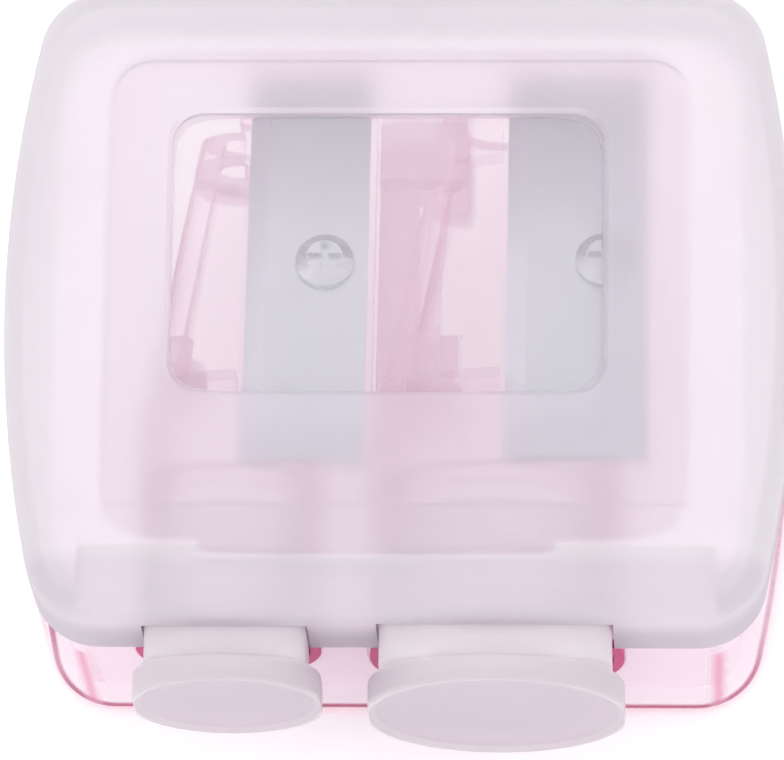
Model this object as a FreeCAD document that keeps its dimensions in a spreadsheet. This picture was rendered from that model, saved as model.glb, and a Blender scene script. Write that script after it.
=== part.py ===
"""Two-hole cosmetic pencil sharpener in a box that catches the shavings.

The origin is under the middle of the tray.  +Z is up through the cover, the pencils go in
along +Y, and the small pencil's hole is at -X.  All sizes are in millimetres.
"""
import FreeCAD, Part
import math
import os

import Sketcher
from FreeCAD import Placement, Rotation, Vector

# ---------------------------------------------------------------- driving dimensions

SIZES = (
    # the box as a whole
    ("body_length", 38.0),          # tray and cover, along Y
    ("body_width", 45.2),           # across the bulging sides
    ("side_bulge", 2.4),            # how far each side stands out past the ends
    ("corner_radius", 4.0),
    ("tray_height", 13.0),          # from the table to the joint with the cover
    ("cover_height", 7.0),
    ("wall", 1.2),
    ("tray_floor", 1.2),
    ("tray_edge_radius", 0.8),
    ("cover_edge_radius", 1.6),
    ("cover_top", 1.2),
    # the joint between the tray and the cover
    ("lip_height", 0.9),
    ("lip_gap", 0.12),
    # the cover's window and the panel inside it
    ("window_width", 24.8),
    ("window_length", 16.9),
    ("window_shift", 0.7),          # of the window's middle, towards -X
    ("window_ahead", 2.55),         # of the window's middle, towards +Y
    ("window_corner", 1.8),
    ("window_recess", 0.6),
    ("window_bevel", 0.25),
    ("panel_depth", 0.3),
    ("panel_side", 2.3),            # from the side walls' inner faces, at the ends
    ("panel_margin", 3.35),         # from the far wall's inner face
    ("panel_corner", 2.4),
    # the thick ledge inside the cover's near end
    ("ledge_depth", 2.2),           # from the near wall's inner face
    ("ledge_step", 0.8),
    ("ledge_side", 1.0),            # left free at each end of the ledge
    ("ledge_notch", 20.2),          # width of the shallower middle
    ("ledge_notch_shift", 1.0),
    ("ledge_clearance", 0.3),       # above the tray's lip
    # the frame that carries the sharpeners
    ("frame_thickness", 1.2),
    ("frame_gap", 0.15),            # all round, inside the tray
    ("frame_clear", 0.4),           # between the side rails and the sharpeners
    ("far_rail", 1.2),
    ("rib_reach", 3.0),             # of the four ribs that carry the frame
    ("rib_width", 1.6),
    ("rib_spread", 10.0),           # of the ribs from the middle, along Y
    ("collar_wall", 0.6),
    ("collar_length", 9.4),         # from the box's near face
    ("collar_gap", 0.1),            # around a collar in the tray's wall
    ("collar_bore_extra", 0.7),     # collar bore radius over the pencil's radius
    # the small sharpener
    ("small_hole", 8.0),
    ("small_across", 9.7),          # axis, towards -X
    ("small_headroom", 1.05),       # over the collar, under the cover's top
    ("small_cone_tip", 0.985),      # the cone's radius at the conical shell's end
    ("small_blade_width", 7.0),
    ("small_blade_offset", 0.7),    # cutting edge past the axis
    ("small_nose_gap", 4.75),       # from the conical shell's end to the frame's far rail
    # the large sharpener
    ("large_hole", 12.0),
    ("large_headroom", 0.55),
    ("large_cone_tip", 2.345),
    ("large_blade_width", 8.1),
    ("large_blade_offset", 0.45),
    ("large_nose_gap", 3.05),
    # what both sharpeners share
    ("shell_wall", 1.3),
    ("mouth_length", 4.1),          # of the straight bore in front of the cone
    ("seat_thickness", 2.4),
    ("seat_margin", 0.35),          # of the seat beyond the blade's back edge
    ("slot_start", 1.4),            # of the chip slots, past the cone's start
    ("slot_gap", 6.45),             # from the chip slots' end to the frame's far rail
    ("slot_depth", 1.5),            # of the chip slots below the blade's plane
    ("slot_edge", 0.3),             # of the shell left under the cutting edge
    ("large_slot_in", 2.7),         # of the large slot's left side, inside the pencil's radius
    ("total_headroom", 8.0),        # taken away above a blade's plane
    ("boss_floor", 0.4),            # below the screw's hole
    ("tail_reach", 1.0),            # of the tail over the frame's far rail
    ("tail_thickness", 0.9),        # of the tail in front of that rail
    ("unit_gap", 0.25),             # between the two sharpener bodies
    # blocks beside the chip slots, on the slope of the blade
    ("block_depth", 3.4),
    ("block_drop", 0.9),            # from the blade's plane down to the lower blocks' tops
    ("slot_post_across", 0.9),
    ("slot_post_along", 2.1),
    ("slot_post_radius", 1.3),
    ("large_wall_out", 1.0),        # of the left wall's face, outside the pencil's radius
    ("large_wall_width", 3.6),
    ("far_block_lap", 1.2),
    ("far_block_width", 5.3),
    ("far_block_length", 3.4),
    ("far_block_rise", 0.3),
    ("near_block_in", 1.6),
    ("near_block_lap", 0.8),
    ("near_block_width", 3.4),
    ("near_block_length", 2.8),
    ("spigot_length", 0.9),
    ("fit_gap", 0.05),              # of pieces that are pressed together
    ("piece_gap", 0.1),             # of pieces that stand next to each other
    # blades and screws
    ("blade_thickness", 0.5),
    ("blade_bevel", 1.2),
    ("blade_edge", 0.06),           # thickness left at the cutting edge
    ("screw_back", 2.45),           # screw's middle from the blade's back edge
    ("screw_along", 12.9),          # screw's middle from the blade's near end
    ("screw_radius", 1.0),
    ("screw_length", 4.2),          # of its hole, below the blade
    ("screw_spare", 0.2),           # left below its tip
    ("screw_tip_radius", 0.6),
    ("screw_taper", 0.5),
    ("screw_hole_gap", 0.25),       # around the screw in the blade
    ("head_radius", 1.7),
    ("head_height", 0.8),
    ("head_edge", 0.35),            # height of the head's straight side
    ("head_flat_radius", 1.05),
    ("cross_width", 0.42),
    ("cross_length", 1.9),
    ("cross_depth", 0.45),
    ("boss_radius", 2.2),
    # plugs
    ("plug_wall", 0.8),
    ("plug_depth", 7.5),            # of the stub behind the box's near face
    ("plug_gap", 0.1),              # around the stub in its collar
    ("flange_overhang", 1.1),
    ("flange_thickness", 1.6),
    ("flange_flat", 0.35),          # taken off each side of the round flange
    ("dish_depth", 0.3),
    ("dish_rim", 0.7),
    ("small_plug_reach", 3.4),      # how far the plug stands out of the box
    ("large_plug_reach", 3.5),
    ("neck_corner", 0.6),
    ("neck_gap", 0.1),              # around the neck in the cover's notch
)

doc = FreeCAD.newDocument("pencil_sharpener")
sheet = doc.addObject("Spreadsheet::Sheet", "Sizes")
for row, (alias, number) in enumerate(SIZES, start=1):
    sheet.set(f"A{row}", alias.replace("_", " "))
    sheet.set(f"B{row}", str(number))
    sheet.setAlias(f"B{row}", alias)
doc.recompute()


class Size:
    """A number together with the sheet expression that gives it."""

    def __init__(self, value, text):
        self.value = float(value)
        self.text = text

    def __add__(self, other):
        other = as_size(other)
        return Size(self.value + other.value, f"({self.text} + {other.text})")

    def __sub__(self, other):
        other = as_size(other)
        return Size(self.value - other.value, f"({self.text} - {other.text})")

    def __mul__(self, other):
        other = as_size(other)
        return Size(self.value * other.value, f"({self.text} * {other.text})")

    def __truediv__(self, other):
        other = as_size(other)
        return Size(self.value / other.value, f"({self.text} / {other.text})")

    def __neg__(self):
        return Size(-self.value, f"(0 - {self.text})")


def as_size(value):
    return value if isinstance(value, Size) else Size(value, repr(float(value)))


def sine(angle):
    return Size(math.sin(math.radians(angle.value)), f"sin({angle.text})")


def cosine(angle):
    return Size(math.cos(math.radians(angle.value)), f"cos({angle.text})")


def tangent(angle):
    return Size(math.tan(math.radians(angle.value)), f"tan({angle.text})")


def slope_angle(slope):
    return Size(math.degrees(math.atan(slope.value)), f"atan({slope.text})")


def root(square):
    return Size(math.sqrt(square.value), f"sqrt({square.text})")


def size(alias):
    return Size(dict(SIZES)[alias], f"Sizes.{alias}")


def bind(target, prop, value):
    """Bind a property of an object to a Size."""
    target.setExpression(prop, as_size(value).text)


ZERO = as_size(0)
FAR = as_size(60)           # longer than anything here, for cuts that run right through
EXACT = 1e-4                # how nearly an edge has to lie where a test looks for it
MARGIN = 0.1                # how far outside an outline a test still finds its edges

# ---------------------------------------------------------------- sizes worked out from them

half_length = size("body_length") / 2
wall = size("wall")
joint = size("tray_height")
lip_inset = wall / 2 + size("lip_gap")
lip_top = joint + size("lip_height")
ledge_bottom = lip_top + size("ledge_clearance")
near_inside = -half_length + wall
collar_cut = near_inside + size("ledge_depth") + size("ledge_step") + size("piece_gap") * 2
frame_bottom = joint - size("frame_thickness")
frame_inset = wall + size("frame_gap")
rail_start = half_length - frame_inset - size("far_rail")   # near face of the frame's far rail
collar_end = -half_length + size("collar_length")
body_start = collar_end + size("piece_gap")
cone_start = body_start + size("mouth_length")
half_width = size("body_width") / 2
bulge = size("side_bulge")
half_end = half_width - bulge                               # at the straight ends
side_radius = (half_length * half_length + bulge * bulge) / (bulge * 2)
side_centre = half_width - side_radius
slot_start = size("slot_start")
underside = joint + size("cover_height") - size("cover_top")
blade_limit = rail_start - size("tail_thickness") - size("piece_gap") * 2


class Sharpener:
    """The sizes of one of the two sharpeners, by the word in front of its names."""

    def __init__(self, kind):
        self.kind = kind
        self.pencil = size(f"{kind}_hole") / 2
        self.blade_width = size(f"{kind}_blade_width")
        self.edge = size(f"{kind}_blade_offset")
        self.reach = size(f"{kind}_plug_reach")
        self.bore = self.pencil + size("collar_bore_extra")
        self.collar = self.bore + size("collar_wall")
        self.shell = self.pencil + size("shell_wall")
        self.neck = self.bore - size("plug_gap")
        self.seat_width = self.edge + self.blade_width + size("seat_margin")
        self.height = underside - size(f"{kind}_headroom") - self.collar
        self.nose = rail_start - size(f"{kind}_nose_gap")
        self.angle = slope_angle((self.pencil - size(f"{kind}_cone_tip")) / (self.nose - cone_start))
        # the blade's ends and the slot's far end, along the slope from the start of the cone
        self.blade_start = self.slope(body_start + size("piece_gap"))
        self.blade_stop = self.slope(blade_limit)
        self.slot_stop = self.slope(rail_start - size("slot_gap"))
        self.across = ZERO

    def slope(self, y):
        """A distance along the blade's slope, from the cone's start, for a place along Y."""
        return (y - cone_start) / cosine(self.angle)

    def radius_at(self, y):
        """The cone's radius at a place along Y."""
        return self.pencil - tangent(self.angle) * (y - cone_start)

    def on_slope(self, across, along, above):
        """A place given on the blade's plane: along its slope from the cone's start, and above it."""
        return (across,
                cone_start + cosine(self.angle) * along + sine(self.angle) * above,
                self.pencil - sine(self.angle) * along + cosine(self.angle) * above)

    def in_box(self, place):
        """A place measured from the pencil's axis, moved into the box."""
        return (self.across + place[0], place[1], self.height + place[2])


SMALL = Sharpener("small")
LARGE = Sharpener("large")
SMALL.across = -size("small_across")
LARGE.across = SMALL.across + SMALL.seat_width + size("unit_gap") + LARGE.pencil + size("large_wall_out")

# ---------------------------------------------------------------- sketches and features


def new_body(label):
    body = doc.addObject("PartDesign::Body", label)
    body.Label = label
    return body


def place(target, spot, tilt=None):
    """Bind the place of an object, and its tilt about X, nose down."""
    base = Vector(*[as_size(part).value for part in spot])
    turn = Rotation(Vector(-1, 0, 0), tilt.value) if tilt else Rotation()
    target.Placement = Placement(base, turn)
    for letter, part in zip("xyz", spot):
        bind(target, f"Placement.Base.{letter}", part)
    if tilt:
        bind(target, "Placement.Rotation.Angle", tilt)


def new_sketch(body, name, plane, offset=ZERO):
    """A sketch on one of the body's own planes, moved along the plane's normal."""
    sketch = body.newObject("Sketcher::SketchObject", name)
    support = [part for part in body.Origin.OriginFeatures if part.Role == plane][0]
    sketch.AttachmentSupport = [(support, "")]
    sketch.MapMode = "FlatFace"
    sketch.AttachmentOffset = Placement(Vector(0, 0, offset.value), Rotation())
    bind(sketch, "AttachmentOffset.Base.z", offset)
    return sketch


def hold(sketch, name, *constraint):
    """Add a constraint whose last item is a Size, under a name, and bind it."""
    index = sketch.addConstraint(Sketcher.Constraint(*constraint[:-1], constraint[-1].value))
    sketch.renameConstraint(index, name)
    bind(sketch, f"Constraints.{name}", constraint[-1])


def add_polygon(sketch, corners, prefix="p"):
    """A closed outline of straight lines, each corner held at its own place."""
    points = [Vector(x.value, y.value, 0) for x, y in corners]
    first = sketch.GeometryCount
    count = len(points)
    for index in range(count):
        sketch.addGeometry(Part.LineSegment(points[index], points[(index + 1) % count]), False)
    for index in range(count):
        following = (index + 1) % count
        sketch.addConstraint(Sketcher.Constraint("Coincident", first + index, 2, first + following, 1))
    for index, (x, y) in enumerate(corners):
        hold(sketch, f"{prefix}{index}_across", "DistanceX", -1, 1, first + index, 1, x)
        hold(sketch, f"{prefix}{index}_up", "DistanceY", -1, 1, first + index, 1, y)


def rectangle(left, right, low, high):
    return ((left, low), (right, low), (right, high), (left, high))


def add_circle(sketch, across, up, radius, name):
    centre = Vector(across.value, up.value, 0)
    index = sketch.addGeometry(Part.Circle(centre, Vector(0, 0, 1), radius.value), False)
    hold(sketch, f"{name}_radius", "Radius", index, radius)
    hold(sketch, f"{name}_across", "DistanceX", -1, 1, index, 3, across)
    hold(sketch, f"{name}_up", "DistanceY", -1, 1, index, 3, up)


def outline_sketch(body, name, inset, offset=ZERO):
    """The box's outline, moved inwards by inset: straight ends, side walls that are arcs, and
    round corners that touch both.  Every inset outline shares the same centres."""
    sketch = new_sketch(body, name, "XY_Plane", offset)
    big = side_radius - inset
    corner = size("corner_radius") - inset
    end = half_length - inset
    corner_y = end.value - corner.value
    reach = math.sqrt((big.value - corner.value) ** 2 - corner_y ** 2)
    corner_x = side_centre.value + reach
    swing = math.atan2(corner_y, reach)
    up = Vector(0, 0, 1)

    def arc(x, y, radius, start, stop):
        circle = Part.Circle(Vector(x, y, 0), up, radius)
        return sketch.addGeometry(Part.ArcOfCircle(circle, start, stop), False)

    quarter = math.pi / 2
    right = arc(side_centre.value, 0, big.value, -swing, swing)
    far_right = arc(corner_x, corner_y, corner.value, swing, quarter)
    far = sketch.addGeometry(Part.LineSegment(Vector(corner_x, end.value, 0),
                                              Vector(-corner_x, end.value, 0)), False)
    far_left = arc(-corner_x, corner_y, corner.value, quarter, 2 * quarter - swing)
    left = arc(-side_centre.value, 0, big.value, 2 * quarter - swing, 2 * quarter + swing)
    near_left = arc(-corner_x, -corner_y, corner.value, 2 * quarter + swing, 3 * quarter)
    near = sketch.addGeometry(Part.LineSegment(Vector(-corner_x, -end.value, 0),
                                               Vector(corner_x, -end.value, 0)), False)
    near_right = arc(corner_x, -corner_y, corner.value, 3 * quarter, 4 * quarter - swing)
    ring = [right, far_right, far, far_left, left, near_left, near, near_right]
    for index, piece in enumerate(ring):
        sketch.addConstraint(Sketcher.Constraint("Tangent", piece, 2, ring[(index + 1) % 8], 1))
    for label, piece, centre in (("right", right, side_centre), ("left", left, -side_centre)):
        hold(sketch, f"{label}_radius", "Radius", piece, big)
        hold(sketch, f"{label}_centre", "DistanceX", -1, 1, piece, 3, centre)
        sketch.addConstraint(Sketcher.Constraint("PointOnObject", piece, 3, -1))
    for index, piece in enumerate((far_right, far_left, near_left, near_right)):
        hold(sketch, f"corner{index}_radius", "Radius", piece, corner)
    sketch.addConstraint(Sketcher.Constraint("Horizontal", far))
    sketch.addConstraint(Sketcher.Constraint("Horizontal", near))
    hold(sketch, "far_end", "DistanceY", -1, 1, far, 1, end)
    hold(sketch, "near_end", "DistanceY", -1, 1, near, 1, -end)
    return sketch


def pad(body, name, sketch, length):
    feature = body.newObject("PartDesign::Pad", name)
    feature.Profile = sketch
    feature.Length = as_size(length).value
    bind(feature, "Length", length)
    return feature


def cut(body, name, sketch, depth, reverse=False):
    """A pocket that has to take something away."""
    doc.recompute()
    before = body.Shape.Volume
    feature = body.newObject("PartDesign::Pocket", name)
    feature.Profile = sketch
    feature.Length = as_size(depth).value
    bind(feature, "Length", depth)
    feature.Reversed = reverse
    doc.recompute()
    if not body.Shape.Volume < before:
        raise RuntimeError(f"{body.Label}.{name} cuts nothing")
    return feature


def spin(body, name, sketch, kind="PartDesign::Revolution"):
    """Turn a sketch about its own vertical axis."""
    feature = body.newObject(kind, name)
    feature.Profile = sketch
    feature.ReferenceAxis = (sketch, ["V_Axis"])
    feature.Angle = 360
    return feature


def dress(body, name, kind, amount, test):
    """Round or bevel the edges of the body's last feature that pass a test."""
    doc.recompute()
    base = body.Tip
    chosen = [f"Edge{number}" for number, edge in enumerate(base.Shape.Edges, start=1) if test(edge)]
    if not chosen:
        raise RuntimeError(f"{body.Label}.{name} finds no edges")
    feature = body.newObject(kind, name)
    feature.Base = (base, chosen)
    prop = "Radius" if kind.endswith("Fillet") else "Size"
    setattr(feature, prop, amount.value)
    bind(feature, prop, amount)
    return feature


def at_height(level):
    """Edges that lie flat at one height."""
    def test(edge):
        bounds = edge.BoundBox
        return abs(bounds.ZMin - level.value) < EXACT and abs(bounds.ZMax - level.value) < EXACT
    return test


def upright_within(left, right, low, high):
    """Upright edges inside a rectangle seen from above, or on its outline."""
    def test(edge):
        bounds = edge.BoundBox
        middle = bounds.Center
        return (bounds.ZLength > EXACT and bounds.XLength < EXACT and bounds.YLength < EXACT
                and left.value - MARGIN < middle.x < right.value + MARGIN
                and low.value - MARGIN < middle.y < high.value + MARGIN)
    return test


def along_top_corners(half_width, level):
    """Edges along Y at one height, at either side of the middle."""
    def test(edge):
        bounds = edge.BoundBox
        return (bounds.YLength > EXACT and bounds.XLength < EXACT
                and abs(bounds.Center.z - level.value) < EXACT
                and abs(abs(bounds.Center.x) - half_width.value) < EXACT)
    return test


# ---------------------------------------------------------------- the box: tray and cover


def neck_profile(unit, gap):
    """The flat-topped upper half of a plug's neck, widened by a gap at its sides and top."""
    return rectangle(unit.across - unit.neck - gap, unit.across + unit.neck + gap,
                     joint, unit.height + unit.neck + gap)


def make_tray():
    """An open tray with a lip round its rim, four ribs for the frame and, in its near wall,
    round-bottomed notches for the two collars."""
    body = new_body("base_tray")
    pad(body, "tray_block", outline_sketch(body, "tray_outline", ZERO), joint)
    dress(body, "tray_bottom_edge", "PartDesign::Fillet", size("tray_edge_radius"), at_height(ZERO))
    pad(body, "rim_lip", outline_sketch(body, "lip_outline", lip_inset, joint), size("lip_height"))
    cut(body, "tray_hollow", outline_sketch(body, "hollow_outline", wall, lip_top),
        lip_top - size("tray_floor"))
    ribs = new_sketch(body, "rib_plan", "XY_Plane", size("tray_floor") / 2)
    spread = size("rib_spread")
    outer = side_centre + root(side_radius * side_radius - spread * spread) - wall / 2
    inner = outer - size("rib_reach")
    near_side = spread - size("rib_width") / 2
    far_side = spread + size("rib_width") / 2
    for index, (side, end) in enumerate(((1, 1), (-1, 1), (-1, -1), (1, -1))):
        add_polygon(ribs, rectangle(inner * side, outer * side, near_side * end, far_side * end),
                    f"rib{index}_")
    pad(body, "ribs", ribs, frame_bottom - size("tray_floor") / 2)
    for unit in (SMALL, LARGE):
        radius = unit.collar + size("collar_gap")
        sketch = new_sketch(body, f"{unit.kind}_notch_round", "XZ_Plane")
        add_circle(sketch, unit.across, unit.height, radius, "notch")
        cut(body, f"{unit.kind}_notch", sketch, FAR, reverse=True)
        sketch = new_sketch(body, f"{unit.kind}_notch_upright", "XZ_Plane")
        add_polygon(sketch, rectangle(unit.across - radius, unit.across + radius,
                                      unit.height, lip_top + wall))
        cut(body, f"{unit.kind}_notch_mouth", sketch, FAR, reverse=True)
    return body


def make_cover():
    """A lid with a rebate over the tray's lip, a thick ledge inside its near end with notches
    for the plugs' necks, and a window sunk into its top."""
    body = new_body("cover")
    top = joint + size("cover_height")
    inside_height = size("cover_height") - size("cover_top")
    pad(body, "cover_block", outline_sketch(body, "cover_outline", ZERO, joint), size("cover_height"))
    dress(body, "cover_top_edge", "PartDesign::Fillet", size("cover_edge_radius"), at_height(top))
    cut(body, "rebate", outline_sketch(body, "rebate_outline", wall / 2, joint),
        size("lip_height") + size("lip_gap"), reverse=True)
    cut(body, "cover_hollow", outline_sketch(body, "inside_outline", wall, joint), inside_height,
        reverse=True)

    ledge = new_sketch(body, "ledge_plan", "XY_Plane", ledge_bottom)
    side = half_end - wall - size("ledge_side")
    back = -half_length + wall / 2
    shallow = near_inside + size("ledge_depth")
    deep = shallow + size("ledge_step")
    step_left = -size("ledge_notch") / 2 - size("ledge_notch_shift")
    step_right = size("ledge_notch") / 2 - size("ledge_notch_shift")
    add_polygon(ledge, ((-side, back), (side, back), (side, deep), (step_right, deep),
                        (step_right, shallow), (step_left, shallow), (step_left, deep),
                        (-side, deep)))
    pad(body, "near_ledge", ledge, top - size("cover_top") / 2 - ledge_bottom)

    panel_far = half_length - wall - size("panel_margin")
    half_panel = half_end - wall - size("panel_side")
    panel = new_sketch(body, "panel_plan", "XY_Plane", joint)
    add_polygon(panel, rectangle(-half_panel, half_panel, deep + size("panel_corner"), panel_far))
    cut(body, "panel", panel, inside_height + size("panel_depth"), reverse=True)
    dress(body, "panel_corners", "PartDesign::Fillet", size("panel_corner"),
          upright_within(-half_panel, half_panel, panel_far, panel_far))

    for unit in (SMALL, LARGE):
        sketch = new_sketch(body, f"{unit.kind}_neck_notch", "XZ_Plane")
        add_polygon(sketch, neck_profile(unit, size("neck_gap")))
        cut(body, f"{unit.kind}_notch", sketch, FAR, reverse=True)

    middle_x = -size("window_shift")
    middle_y = size("window_ahead")
    half_x = size("window_width") / 2
    half_y = size("window_length") / 2
    window = new_sketch(body, "window_plan", "XY_Plane", top)
    add_polygon(window, rectangle(middle_x - half_x, middle_x + half_x,
                                  middle_y - half_y, middle_y + half_y))
    cut(body, "window", window, size("window_recess"))
    upright = upright_within(middle_x - half_x, middle_x + half_x,
                             middle_y - half_y, middle_y + half_y)

    def window_corner(edge):
        return upright(edge) and edge.BoundBox.ZMax > top.value - EXACT

    def window_rim(edge):
        bounds = edge.BoundBox
        return (at_height(top)(edge) and abs(bounds.Center.x) < half_panel.value
                and bounds.YMin > (middle_y - half_y).value - MARGIN
                and bounds.YMax < (middle_y + half_y).value + MARGIN)

    dress(body, "window_corners", "PartDesign::Fillet", size("window_corner"), window_corner)

    dress(body, "window_bevel", "PartDesign::Chamfer", size("window_bevel"), window_rim)
    return body


# ---------------------------------------------------------------- the frame with its collars


def make_frame():
    """An open frame that rests on the tray's ribs, with a collar for each pencil."""
    body = new_body("insert_frame")
    pad(body, "plate", outline_sketch(body, "plate_outline", frame_inset, frame_bottom),
        size("frame_thickness"))
    for unit in (SMALL, LARGE):
        sketch = new_sketch(body, f"{unit.kind}_collar_round", "XZ_Plane", half_length)
        add_circle(sketch, unit.across, unit.height, unit.collar, "collar")
        collar = pad(body, f"{unit.kind}_collar", sketch, size("collar_length"))
        collar.Reversed = True
    opening = new_sketch(body, "opening_plan", "XY_Plane", joint)
    clear = size("frame_clear")
    add_polygon(opening, rectangle(SMALL.across - SMALL.shell - clear,
                                   LARGE.across + LARGE.seat_width + clear, collar_end, rail_start))
    cut(body, "opening", opening, size("frame_thickness"))
    for unit in (SMALL, LARGE):
        sketch = new_sketch(body, f"{unit.kind}_bore_round", "XZ_Plane")
        add_circle(sketch, unit.across, unit.height, unit.bore, "bore")
        cut(body, f"{unit.kind}_bore", sketch, FAR, reverse=True)
        # the upper half stops short of the cover's ledge
        sketch = new_sketch(body, f"{unit.kind}_trim_side", "YZ_Plane", unit.across - unit.collar)
        add_polygon(sketch, rectangle(-FAR, collar_cut, joint, joint + FAR))
        cut(body, f"{unit.kind}_trim", sketch, unit.collar * 2, reverse=True)
    return body


# ---------------------------------------------------------------- the two sharpener bodies


def box_between(name, corner, far_corner, unit=None):
    """A box between two corners.  With a unit, the corners are on the slope of its blade."""
    box = doc.addObject("Part::Box", name)
    for prop, low, high in zip(("Length", "Width", "Height"), corner, far_corner):
        bind(box, prop, as_size(high) - low)
    place(box, unit.on_slope(*corner) if unit else corner, unit.angle if unit else None)
    return box


def round_along(name, kind, start, stop, radius, end_radius=None):
    """A cylinder or a cone along Y."""
    shape = doc.addObject(kind, name)
    if end_radius is None:
        bind(shape, "Radius", radius)
    else:
        bind(shape, "Radius1", radius)
        bind(shape, "Radius2", end_radius)
    bind(shape, "Height", as_size(stop) - start)
    shape.Placement = Placement(Vector(0, as_size(start).value, 0), Rotation(Vector(1, 0, 0), -90))
    bind(shape, "Placement.Base.y", start)
    return shape


def post_on_slope(name, unit, across, along, radius, low, high):
    """A cylinder that stands square to the blade's plane."""
    post = doc.addObject("Part::Cylinder", name)
    bind(post, "Radius", radius)
    bind(post, "Height", as_size(high) - low)
    place(post, unit.on_slope(across, along, low), unit.angle)
    return post


def fused(name, pieces):
    union = doc.addObject("Part::MultiFuse", name)
    union.Shapes = pieces
    union.Refine = True
    return union


def subtracted(label, base, tool):
    result = doc.addObject("Part::Cut", label)
    result.Base = base
    result.Tool = tool
    result.Refine = True
    result.Label = label
    return result


def screw_spot(unit):
    """Where the screw stands on the blade's plane, from the axis and the cone's start."""
    return (unit.edge + unit.blade_width - size("screw_back"), unit.blade_start + size("screw_along"))


def make_sharpener_body(unit, blocks, slot_left):
    """A bored and coned shell with a sloping seat for the blade on its right, a chip slot on its
    left, a spigot that enters the collar and a tail that rests on the frame.  The blocks beside
    the slot are added after the slot is cut, and before the bore."""
    kind = unit.kind
    nose = unit.nose
    seat_far = unit.blade_stop + size("piece_gap")
    seat_near = unit.blade_start - size("piece_gap")
    # the seat's sloping end stays clear of the collar
    seat_end = unit.blade_start + size("seat_thickness") * tangent(unit.angle)
    across, along = screw_spot(unit)
    frame_top = joint - unit.height
    tail_low = unit.on_slope(ZERO, seat_far, -size("seat_thickness"))[2]
    tail_high = frame_top + size("frame_thickness") / 2
    tail_near = unit.on_slope(ZERO, seat_far, ZERO)[1] + size("piece_gap")
    headroom = size("total_headroom")
    solid = fused(f"{kind}_solid", [
        round_along(f"{kind}_mouth", "Part::Cylinder", body_start, cone_start, unit.shell),
        round_along(f"{kind}_shell", "Part::Cone", cone_start, nose, unit.shell,
                    unit.radius_at(nose) + size("shell_wall")),
        round_along(f"{kind}_spigot", "Part::Cylinder", body_start - size("spigot_length"),
                    body_start, unit.bore - size("fit_gap")),
        box_between(f"{kind}_seat", (ZERO, seat_end, -size("seat_thickness")),
                    (unit.seat_width, seat_far + size("seat_margin"), ZERO), unit),
        post_on_slope(f"{kind}_boss", unit, across, along, size("boss_radius"),
                      -size("screw_length") - size("boss_floor"), ZERO),
        box_between(f"{kind}_tail", (unit.edge, tail_near, tail_low),
                    (unit.seat_width, rail_start - size("piece_gap"), tail_high)),
        box_between(f"{kind}_tail_lug", (unit.edge, tail_near, frame_top),
                    (unit.seat_width, rail_start + size("tail_reach"), tail_high)),
    ])
    open_top = fused(f"{kind}_open_top", [
        box_between(f"{kind}_seat_cut", (unit.edge - size("slot_edge"), seat_near, ZERO),
                    (unit.seat_width + size("wall"), seat_far, headroom), unit),
        box_between(f"{kind}_slot_cut", (slot_left, slot_start, -size("slot_depth")),
                    (unit.edge - size("slot_edge"), unit.slot_stop, headroom), unit),
    ])
    shell = fused(f"{kind}_with_blocks", [subtracted(f"{kind}_opened", solid, open_top)] + blocks)
    bores = fused(f"{kind}_bores", [
        round_along(f"{kind}_bore_cut", "Part::Cylinder", -half_length, cone_start, unit.pencil),
        round_along(f"{kind}_cone_cut", "Part::Cone", cone_start, nose + size("wall"), unit.pencil,
                    unit.radius_at(nose + size("wall"))),
        post_on_slope(f"{kind}_pilot", unit, across, along, size("screw_radius") + size("fit_gap"),
                      -size("screw_length"), size("wall")),
    ])
    body = subtracted(f"{kind}_sharpener_body", shell, bores)
    place(body, (unit.across, ZERO, unit.height))
    return body


def small_slot_blocks():
    """The round end of the small chip slot, beside the cone's wall."""
    return [post_on_slope("small_slot_end", SMALL, size("slot_post_across") - SMALL.pencil,
                          slot_start + size("slot_post_along"), size("slot_post_radius"),
                          -size("block_depth"), -size("block_drop"))]


def large_slot_blocks():
    """The straight wall left of the large chip slot, and a raised block at each of its ends."""
    left = -LARGE.pencil - size("large_wall_out")
    near = slot_start
    far = LARGE.slot_stop
    deep = -size("block_depth")
    return [
        box_between("large_wall", (left, near, deep),
                    (left + size("large_wall_width"), far, -size("block_drop")), LARGE),
        box_between("large_far_block", (left, far - size("far_block_lap"), deep),
                    (left + size("far_block_width"), far + size("far_block_length"),
                     size("far_block_rise")), LARGE),
        box_between("large_near_block", (left + size("near_block_in"), near - size("near_block_lap"),
                                         deep),
                    (left + size("near_block_in") + size("near_block_width"),
                     near + size("near_block_length"), ZERO), LARGE),
    ]


# ---------------------------------------------------------------- blades and screws


def make_blade(unit):
    """A flat blade with one long edge ground thin and a hole for its screw."""
    body = new_body(f"{unit.kind}_blade")
    thick = size("blade_thickness")
    section = new_sketch(body, "section", "XZ_Plane")
    add_polygon(section, ((ZERO, ZERO), (unit.blade_width, ZERO), (unit.blade_width, thick),
                          (size("blade_bevel"), thick), (ZERO, size("blade_edge"))))
    strip = pad(body, "strip", section, unit.blade_stop - unit.blade_start)
    strip.Reversed = True
    hole = new_sketch(body, "hole", "XY_Plane", thick)
    add_circle(hole, unit.blade_width - size("screw_back"), size("screw_along"),
               size("screw_radius") + size("screw_hole_gap"), "hole")
    cut(body, "screw_hole", hole, thick)
    place(body, unit.in_box(unit.on_slope(unit.edge, unit.blade_start, ZERO)), unit.angle)
    return body


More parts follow.
